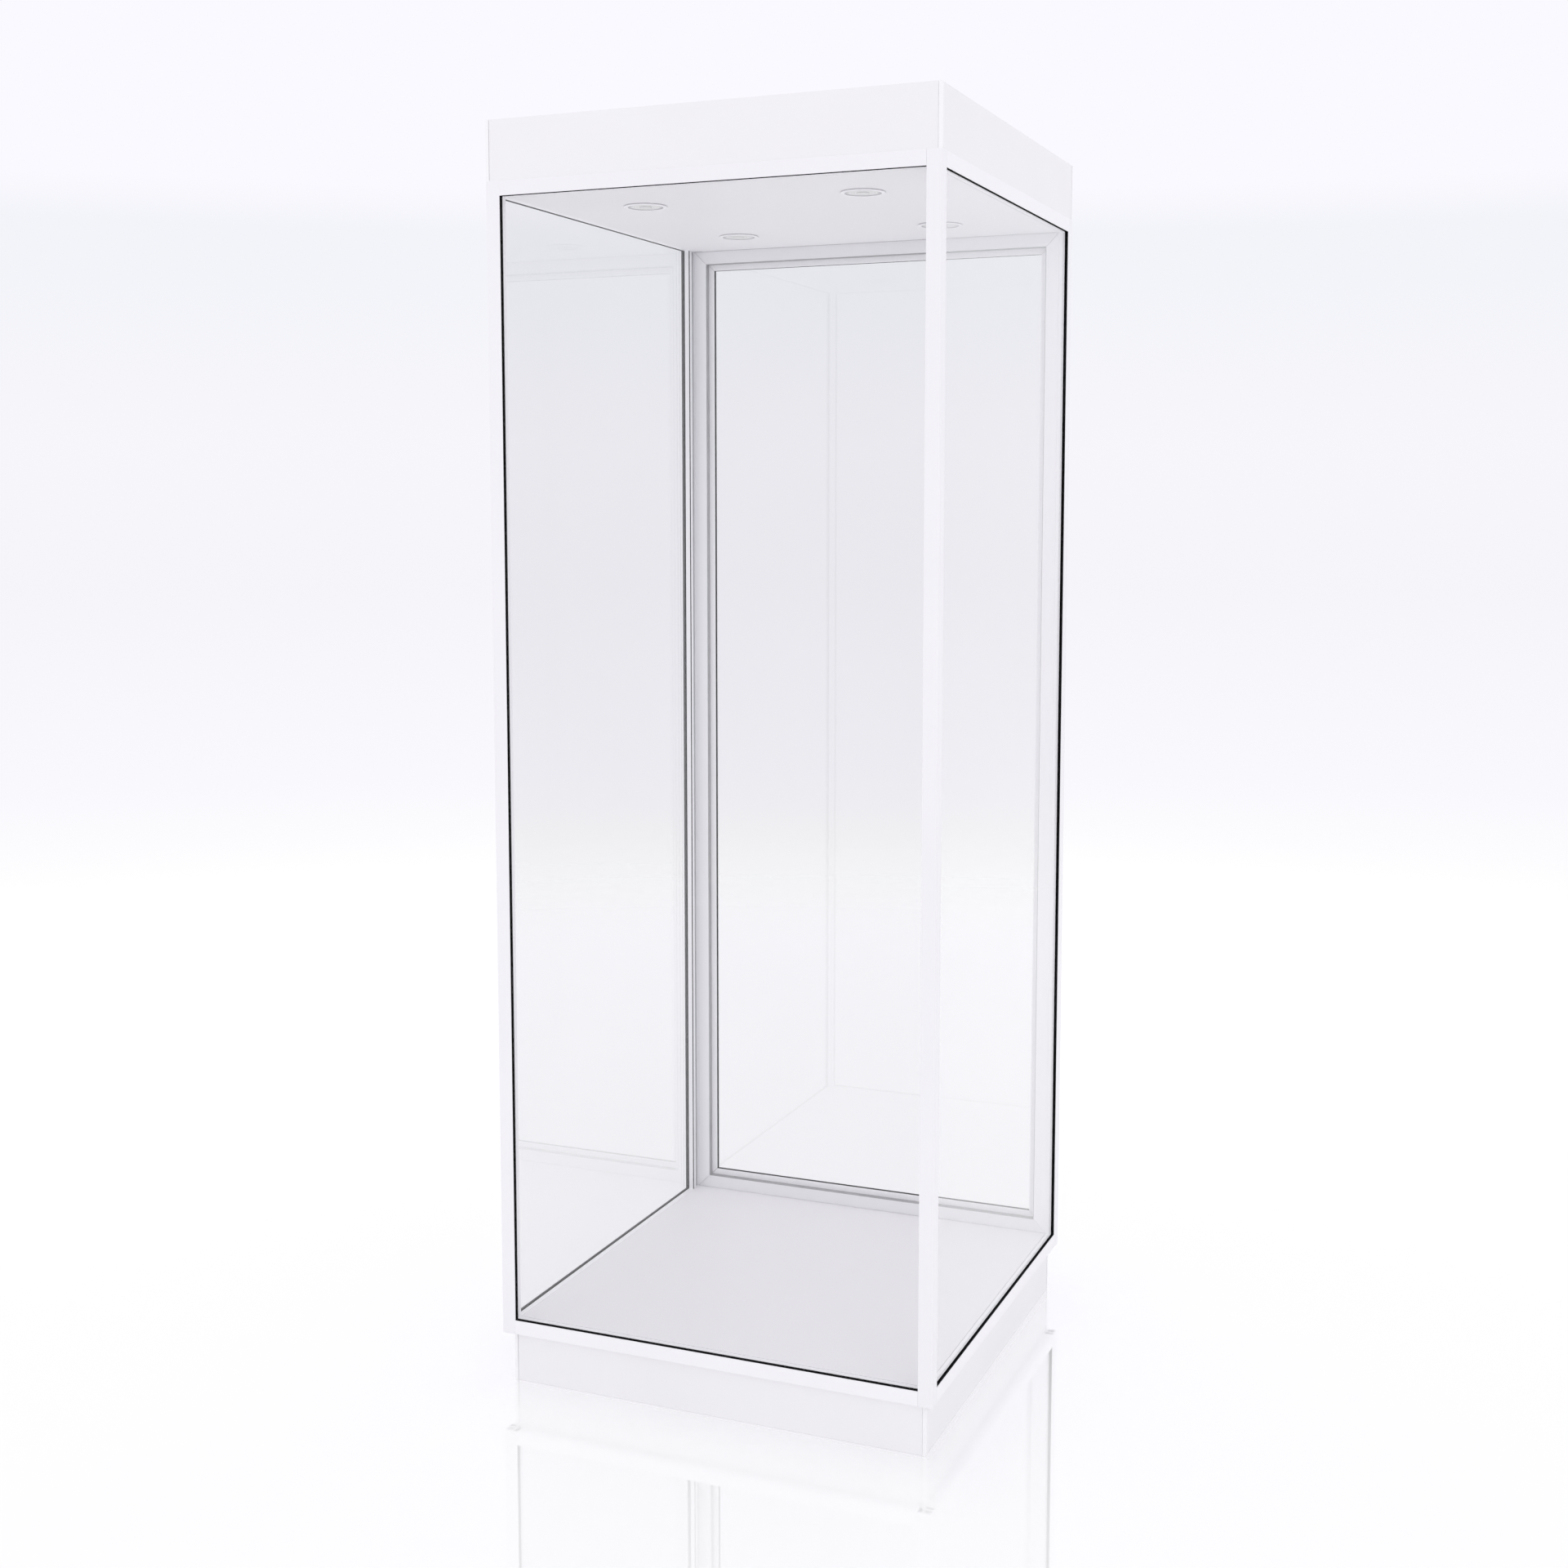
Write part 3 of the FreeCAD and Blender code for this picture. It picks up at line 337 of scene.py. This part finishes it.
bezel_radius = 0.0375
lens_ring_pitch = 0.005
lens_ring_height = 0.0002
lens_frost = 800
fine_skin, coarse_skin = 0.00001, 0.00002
along_z = (1, 1, 0.02)
round_z = (1, 1, 6)
even = (1, 1, 1)
finishes = {
    "white_frame": powder_coat("satin_powder_coat", frame_white, rough=0.33),
    "white_board": painted_board("rolled_white_paint", board_white),
    "deck_laminate": deck_laminate(),
    "clear_glass": clear_glass(),
    "black_rubber": moulded("matt_black_rubber", (0.006, 0.006, 0.007), rough=0.7,
                            per_metre=1400, depth=coarse_skin, gloss=0.08),
    "grey_plastic": moulded("matt_grey_plastic", (0.42, 0.42, 0.44), rough=0.48,
                            per_metre=1200, depth=fine_skin),
    "grey_rubber": moulded("matt_grey_rubber", (0.40, 0.40, 0.41), rough=0.6,
                           per_metre=1300, depth=coarse_skin, gloss=0.2),
    "white_plastic": moulded("satin_white_plastic", (0.84, 0.84, 0.84), rough=0.42,
                             per_metre=1000, depth=coarse_skin),
    "black_plastic": moulded("matt_black_plastic", (0.03, 0.03, 0.032), rough=0.5,
                             per_metre=1300, depth=coarse_skin),
    "steel": metal("zinc_plated_steel", (0.62, 0.62, 0.64), rough=0.32,
                   per_metre=160, stretch=even),
    "bronze": metal("turned_bronze", (0.65, 0.48, 0.26), rough=0.3,
                    per_metre=900, stretch=round_z),
    "chrome": metal("polished_chrome", (0.78, 0.78, 0.80), rough=0.08,
                    per_metre=500, stretch=even),
    "reflector": metal("satin_reflector", (0.58, 0.58, 0.60), rough=0.35,
                       per_metre=700, stretch=even),
    "lens": painted_shade_ringed_lens(),
    "bare_aluminium": metal("mill_aluminium", (0.66, 0.67, 0.69), rough=0.38,
                            per_metre=900, stretch=along_z),
}
# Painted light: a lighter copy of the frame coat for the bottom rails, the top side rails and the
# door.
painted_light_rail_coat = powder_coat("painted_light_rail_powder_coat", painted_light_rail_white, rough=0.33)
painted_light_pieces = ("rail_bottom_front", "rail_bottom_back", "rail_bottom_left", "rail_bottom_right",
                 "rail_top_left", "rail_top_right", "door_rail_top", "door_rail_bottom",
                 "door_stile_hinge", "door_stile_lock")
own_finishes = {
    **dict.fromkeys(painted_light_pieces, painted_light_rail_coat),
    # Painted shade: a darker copy of the frame coat on the door stop rails.
    "door_stop_rails": powder_coat("shaded_stop_coat", painted_shade_stop_white, rough=0.33),
    # Painted highlight: a brighter copy of the frame coat on the corner beads.
    "corner_beads": powder_coat("painted_highlight_bead_coat", painted_highlight_bead_white, rough=0.22),
    # Painted shade: a darker copy of the board paint on the ceiling.
    "ceiling_panel": painted_board("painted_shade_ceiling_paint", painted_shade_ceiling_white),
}
print(len(set(finishes.values()) | set(own_finishes.values())), "finishes")

# %% [markdown]
# Dressing the pieces
#
# The record of the case says which finish each piece takes, so one loop hands them out. A few
# pieces have a coat of their own, which comes first. The material goes into the object's slot
# and the mesh itself stays as it is.

# %% Hand out the finishes
dressed = 0
for row in frame["record"]["subparts"]:
    piece = frame["nodes"][row["node"]]
    finish = own_finishes.get(row["node"], finishes[row["material_slot"]])
    for slot in piece.material_slots:
        slot.material = finish
        dressed += 1
print(dressed, "slots dressed")

# %% [markdown]
# Where the screws go
#
# Screws hold the lid on the canopy's corner blocks, the strike plate on its post, and the ceiling's
# brackets and the driver on the ceiling board. Each place is a point, the way that the head faces
# and a size against the first screw of its kind. A node with several like solids is split into its
# loose parts, so that every bracket gives its own place.

# %% Places of the screws
up = Vector((0, 0, 1))
lid_screw_inset = 0.014
strike_screw_inset = 0.007
strike_screw_size = 0.52
foot_thickness = 0.002
driver_ear = 0.016
seat_drop = 0.0001


def loose_parts(node):
    """The lowest and highest corner of each separate solid of a node."""
    shell = bmesh.new()
    shell.from_mesh(frame["nodes"][node].data)
    bmesh.ops.remove_doubles(shell, verts=shell.verts, dist=0.00001)
    waiting = set(shell.verts)
    parts = []
    while waiting:
        front = [waiting.pop()]
        found = []
        while front:
            corner = front.pop()
            found.append(corner.co.copy())
            near = {edge.other_vert(corner) for edge in corner.link_edges} & waiting
            waiting -= near
            front += near
        parts.append((Vector(map(min, zip(*found))), Vector(map(max, zip(*found)))))
    shell.free()
    return parts


def lid_places():
    """Four screws through the lid's corners, heads flush with the top."""
    low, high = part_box("canopy_lid")
    xs = (low.x + lid_screw_inset, high.x - lid_screw_inset)
    ys = (low.y + lid_screw_inset, high.y - lid_screw_inset)
    return [(Vector((x, y, high.z - seat_drop)), up, 1.0) for x in xs for y in ys]


def strike_places():
    """Two small screws through the strike plate, facing into the case."""
    low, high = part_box("strike_plate")
    zs = (low.z + strike_screw_inset, high.z - strike_screw_inset)
    middle = (low.y + high.y) / 2
    places = [Vector((high.x - seat_drop, middle, z)) for z in zs]
    return [(place, Vector((1, 0, 0)), strike_screw_size) for place in places]


def ceiling_places():
    """One screw in the foot of each bracket and in each ear of the driver."""
    feet = [(low + high) / 2 for low, high in loose_parts("ceiling_brackets")]
    low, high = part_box("led_driver")
    middle = (low.y + high.y) / 2
    ears = [Vector((x, middle, 0)) for x in (low.x + driver_ear / 2, high.x - driver_ear / 2)]
    level = low.z + foot_thickness
    return [(Vector((place.x, place.y, level)), up, 1.0) for place in feet + ears]


flush_places = lid_places() + strike_places()
raised_places = ceiling_places()
print(len(flush_places), "flush and", len(raised_places), "raised screws")

# %% [markdown]
# One group of nodes for every screw
#
# A Geometry Nodes group builds a screw from a head, a shank and a cross cut into the head, and sets
# a copy on every point. The head turns to the way that its point faces and then by a random angle
# with a fixed seed, because no one lines up the crosses of real screws. A head that narrows
# downward and sinks by its own height is a countersunk one, and a head that narrows upward stands
# on its seat, so the same group makes both.

# %% Screw group
cross_length_share = 0.56
cross_width_share = 0.15
cross_depth_share = 0.7
head_sides = 28
shank_sides = 20
turn_seed = 7


def screw_group():
    """A group that sets a cross-recessed screw on every point of a cloud."""
    group = bpy.data.node_groups.new("cross_recessed_screws", "GeometryNodeTree")
    sockets = group.interface
    sockets.new_socket("Places", in_out="INPUT", socket_type="NodeSocketGeometry")
    for label in ("Head Top", "Head Base", "Head Height", "Head Sink",
                  "Shank Width", "Shank Length"):
        sockets.new_socket(label, in_out="INPUT", socket_type="NodeSocketFloat")
    sockets.new_socket("Seed", in_out="INPUT", socket_type="NodeSocketInt")
    sockets.new_socket("Finish", in_out="INPUT", socket_type="NodeSocketMaterial")
    sockets.new_socket("Screws", in_out="OUTPUT", socket_type="NodeSocketGeometry")
    given = group.nodes.new("NodeGroupInput").outputs

    def raised(shape, height):
        lifted = add(group, "ShaderNodeCombineXYZ", {"Z": height}).outputs[0]
        moved = add(group, "GeometryNodeTransform", {"Geometry": shape, "Translation": lifted})
        return moved.outputs[0]

    half_top = calc(group, "DIVIDE", given["Head Top"], 2)
    half_base = calc(group, "DIVIDE", given["Head Base"], 2)
    half_shank = calc(group, "DIVIDE", given["Shank Width"], 2)
    under = calc(group, "MULTIPLY", given["Head Sink"], -1)
    crown = calc(group, "ADD", under, given["Head Height"])
    cone = add(group, "GeometryNodeMeshCone", {
        "Vertices": head_sides, "Radius Top": half_top, "Radius Bottom": half_base,
        "Depth": given["Head Height"],
    })
    long_side = calc(group, "MULTIPLY", given["Head Top"], cross_length_share)
    short_side = calc(group, "MULTIPLY", given["Head Top"], cross_width_share)
    deep_side = calc(group, "MULTIPLY", given["Head Height"], 2 * cross_depth_share)
    bars = []
    for sides in ((long_side, short_side), (short_side, long_side)):
        size = add(group, "ShaderNodeCombineXYZ", {"X": sides[0], "Y": sides[1], "Z": deep_side})
        bar = add(group, "GeometryNodeMeshCube", {"Size": size.outputs[0]})
        bars.append(raised(bar.outputs["Mesh"], crown))
    head = raised(cone.outputs["Mesh"], under)
    recessed = add(group, "GeometryNodeMeshBoolean", {"Mesh 1": head}, operation="DIFFERENCE")
    for bar in bars:
        group.links.new(bar, recessed.inputs["Mesh 2"])
    rod = add(group, "GeometryNodeMeshCylinder", {
        "Vertices": shank_sides, "Radius": half_shank, "Depth": given["Shank Length"],
    })
    below = calc(group, "SUBTRACT", under, calc(group, "DIVIDE", given["Shank Length"], 2))
    screw = add(group, "GeometryNodeJoinGeometry")
    for shape in (raised(rod.outputs["Mesh"], below), recessed.outputs["Mesh"]):
        group.links.new(shape, screw.inputs[0])
    facing = add(group, "GeometryNodeInputNamedAttribute", {"Name": "facing"},
                 data_type="FLOAT_VECTOR").outputs["Attribute"]
    size = add(group, "GeometryNodeInputNamedAttribute", {"Name": "size"},
               data_type="FLOAT").outputs["Attribute"]
    aligned = add(group, "FunctionNodeAlignRotationToVector", {"Vector": facing}, axis="Z")
    copies = add(group, "GeometryNodeInstanceOnPoints", {
        "Points": given["Places"], "Instance": screw.outputs[0],
        "Rotation": aligned.outputs[0], "Scale": size,
    })
    turn = add(group, "FunctionNodeRandomValue", data_type="FLOAT_VECTOR", inputs={
        "Min": (0, 0, 0), "Max": (0, 0, math.tau), "Seed": given["Seed"],
    })
    turned = add(group, "GeometryNodeRotateInstances", {
        "Instances": copies.outputs[0], "Rotation": turn.outputs[0], "Local Space": True,
    })
    real = add(group, "GeometryNodeRealizeInstances", {"Geometry": turned.outputs[0]})
    finished = add(group, "GeometryNodeSetMaterial", {
        "Geometry": real.outputs[0], "Material": given["Finish"],
    })
    result = group.nodes.new("NodeGroupOutput")
    group.links.new(finished.outputs[0], result.inputs["Screws"])
    return group


screws = screw_group()
print("screw group of", len(screws.nodes), "nodes")

# %% [markdown]
# Setting the screws
#
# The points carry their facing and size as attributes. The group runs once over each cloud, and its
# result is kept as a plain mesh that rides on the case.

# %% Set the screws
def set_screws(name, places, sizes):
    """One plain mesh of all the screws of a kind."""
    cloud = bpy.data.meshes.new(name + "_places")
    cloud.from_pydata([place for place, facing, size in places], [], [])
    cloud.attributes.new("facing", "FLOAT_VECTOR", "POINT")
    cloud.attributes.new("size", "FLOAT", "POINT")
    for number, (place, facing, size) in enumerate(places):
        cloud.attributes["facing"].data[number].vector = facing
        cloud.attributes["size"].data[number].value = size
    carrier = bpy.data.objects.new(name + "_places", cloud)
    bpy.context.collection.objects.link(carrier)
    modifier = carrier.modifiers.new("screws", "NODES")
    modifier.node_group = screws
    wanted = {**sizes, "Seed": turn_seed, "Finish": finishes["steel"]}
    for socket in screws.interface.items_tree:
        if socket.name in wanted:
            modifier[socket.identifier] = wanted[socket.name]
    carrier.update_tag()
    ready = carrier.evaluated_get(bpy.context.evaluated_depsgraph_get())
    mesh = bpy.data.meshes.new_from_object(ready)
    bpy.data.objects.remove(carrier)
    piece = bpy.data.objects.new(name, mesh)
    bpy.context.collection.objects.link(piece)
    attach(piece, "case")
    print(name, "of", len(mesh.polygons), "faces")
    return piece


set_screws("countersunk_screws", flush_places, {
    "Head Top": 0.0088, "Head Base": 0.0042, "Head Height": 0.0022, "Head Sink": 0.0022,
    "Shank Width": 0.004, "Shank Length": 0.020,
})
set_screws("pan_head_screws", raised_places, {
    "Head Top": 0.0056, "Head Base": 0.0072, "Head Height": 0.0022, "Head Sink": 0.0,
    "Shank Width": 0.0035, "Shank Length": 0.010,
})

# %% [markdown]
# Studio
#
# The case stands in a bright white studio. Large lamps could light it, but a world of a few tones
# is simpler and gives less grain. It is a pale gradient for the eye and for mirrors, by the angle
# above the horizon in degrees, and an even white light for everything else.

# %% World
even_light = (0.893, 0.888, 0.910)
sky_tones = {
    -10.5: (1.0, 1.0, 1.0),
    -7.5: (0.95, 0.942, 0.985),
    -2.0: (0.918, 0.910, 0.953),
    2.0: (0.926, 0.918, 0.961),
    6.5: (0.897, 0.904, 0.947),
    7.9: (0.895, 0.903, 0.946),
    9.1: (0.956, 0.947, 1.0),
}


def seen_by_eye(tree):
    """One where a ray comes from the camera, a mirror or through glass, and zero elsewhere."""
    path = add(tree, "ShaderNodeLightPath").outputs
    direct = calc(tree, "MAXIMUM", path["Is Camera Ray"], path["Is Glossy Ray"])
    return calc(tree, "MAXIMUM", direct, path["Is Transmission Ray"])


world = bpy.data.worlds.new("white_studio")
bpy.context.scene.world = world
world.use_nodes = True
sky = world.node_tree
sky.nodes.clear()
direction = add(sky, "ShaderNodeTexCoord").outputs["Generated"]
height = add(sky, "ShaderNodeSeparateXYZ", {0: direction}).outputs["Z"]
lowest, highest = min(sky_tones), max(sky_tones)
level = add(sky, "ShaderNodeMapRange", {
    "Value": height,
    "From Min": math.sin(math.radians(lowest)), "From Max": math.sin(math.radians(highest)),
})
ramp = add(sky, "ShaderNodeValToRGB", {"Fac": level.outputs["Result"]})
while len(ramp.color_ramp.elements) < len(sky_tones):
    ramp.color_ramp.elements.new(0.5)
for element, (degrees, tone) in zip(ramp.color_ramp.elements, sky_tones.items()):
    element.position = (degrees - lowest) / (highest - lowest)
    element.color = (*tone, 1)
seen = add(sky, "ShaderNodeBackground", {"Color": ramp.outputs["Color"], "Strength": 1.0})
light = add(sky, "ShaderNodeBackground", {"Color": (*even_light, 1), "Strength": 1.0})
both = add(sky, "ShaderNodeMixShader", {
    0: seen_by_eye(sky), 1: light.outputs[0], 2: seen.outputs[0],
})
add(sky, "ShaderNodeOutputWorld", {"Surface": both.outputs[0]})
print("world of", len(sky_tones), "tones")

# %% [markdown]
# Floor
#
# The floor is a wide glossy disc that fades out into the world far away. A plain white one would
# look grey beside the world, so part of its white is a glow, like the lit floor of a studio. The
# glow is a little weaker for the eye, so that the mirror image of the case still shows, and
# stronger for everything else, so that the plinth and the ceiling get light from below. Close to
# the plinth the floor is nearly a mirror, and that share falls off within a hand's width.

# %% Floor disc
floor_radius = 16.0
floor_sides = 96
floor_drop = 0.0003
floor_mesh = bpy.data.meshes.new("floor")
shell = bmesh.new()
bmesh.ops.create_circle(shell, cap_ends=True, radius=floor_radius, segments=floor_sides)
bmesh.ops.translate(shell, verts=shell.verts, vec=(0, 0, -floor_drop))
shell.to_mesh(floor_mesh)
shell.free()
floor = bpy.data.objects.new("floor", floor_mesh)
bpy.context.collection.objects.link(floor)
print("floor of", floor_radius, "m radius")

# %% Floor finish
fade_from, fade_to = 3.3, 6.3
floor_white = (0.80, 0.80, 0.80)
floor_bend = 2.2
floor_patches = 3
floor_lift = 0.215
floor_glow = 0.25
mirror_share = 0.68
mirror_reach = 0.10
finish, tree = blank("glossy_white_floor")
place = add(tree, "ShaderNodeTexCoord").outputs["Object"]
radius = vector_size(tree, "LENGTH", place)
faded = add(tree, "ShaderNodeMapRange", interpolation_type="SMOOTHSTEP", inputs={
    "Value": radius, "From Min": fade_from, "From Max": fade_to,
}).outputs["Result"]
lift = add(tree, "ShaderNodeMapRange", {
    "Value": seen_by_eye(tree), "To Min": floor_glow, "To Max": floor_lift,
})
polished = principled(tree, {
    "Base Color": (*floor_white, 1), "IOR": floor_bend,
    "Roughness": between(tree, grain(tree, floor_patches), 0.0, 0.012),
    "Emission Color": (1, 1, 1, 1), "Emission Strength": lift.outputs["Result"],
})
plinth_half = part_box("plinth_panels")[1].xy.to_3d()
folded = vector_calc(tree, "ABSOLUTE", place)
beyond = vector_calc(tree, "MAXIMUM", vector_calc(tree, "SUBTRACT", folded, plinth_half))
away = vector_size(tree, "LENGTH", vector_calc(tree, "MULTIPLY", beyond, (1, 1, 0)))
fall = calc(tree, "POWER", math.exp(-1 / mirror_reach), away)
path = add(tree, "ShaderNodeLightPath").outputs
watched = calc(tree, "MAXIMUM", path["Is Camera Ray"], path["Is Transmission Ray"])
near = calc(tree, "MULTIPLY", calc(tree, "MULTIPLY", fall, mirror_share), watched)
mirror = add(tree, "ShaderNodeBsdfGlossy", {"Color": (1, 1, 1, 1), "Roughness": 0.0}).outputs[0]
mirrored = add(tree, "ShaderNodeMixShader", {0: near, 1: polished, 2: mirror}).outputs[0]
gone = add(tree, "ShaderNodeBsdfTransparent").outputs[0]
mixed = add(tree, "ShaderNodeMixShader", {0: faded, 1: mirrored, 2: gone}).outputs[0]
show(tree, mixed)
floor_mesh.materials.append(finish)
print("floor finish of", len(tree.nodes), "nodes")

# %% [markdown]
# Lamp
#
# One broad, soft lamp shines from the front and the right, from above. It makes the two sides that
# the eye sees a little brighter than the hollows and catches the edges that look up. It is hidden
# from mirrors, so that no bright disc shows in the panes.

# %% Soft lamp
lamp_from = Vector((0.45, -0.80, 0.55))
lamp_spread = math.radians(40)
lamp_strength = 0.21
lamp_data = bpy.data.lights.new("soft_lamp", "SUN")
lamp_data.energy = lamp_strength
lamp_data.angle = lamp_spread
lamp = bpy.data.objects.new("soft_lamp", lamp_data)
lamp.rotation_euler = lamp_from.to_track_quat("Z", "Y").to_euler()
lamp.visible_glossy = False
lamp.visible_transmission = False
bpy.context.collection.objects.link(lamp)
print("lamp of strength", lamp_strength)

# %% [markdown]
# Camera
#
# The picture was taken from the front and right of the case, a little above the middle of its
# height, with the camera tipped slightly down. A small shift of the lens keeps the uprights closer
# to parallel, and it stays small, because other views keep it too.

# %% Camera
camera_place = Vector((1.3524, -3.3375, 1.5316))
camera_turn = math.radians(22.429)
camera_tip = math.radians(-5.837)
focal_length = 45.391
sensor_width = 36.0
lens_shift = -0.0417
lens = bpy.data.cameras.new("view")
lens.lens = focal_length
lens.sensor_width = sensor_width
lens.shift_y = lens_shift
camera = bpy.data.objects.new("view", lens)
camera.location = camera_place
camera.rotation_euler = (math.radians(90) + camera_tip, 0, camera_turn)
bpy.context.collection.objects.link(camera)
bpy.context.scene.camera = camera
bpy.context.scene.view_settings.view_transform = "Standard"
print("camera at", [round(value, 3) for value in camera_place])
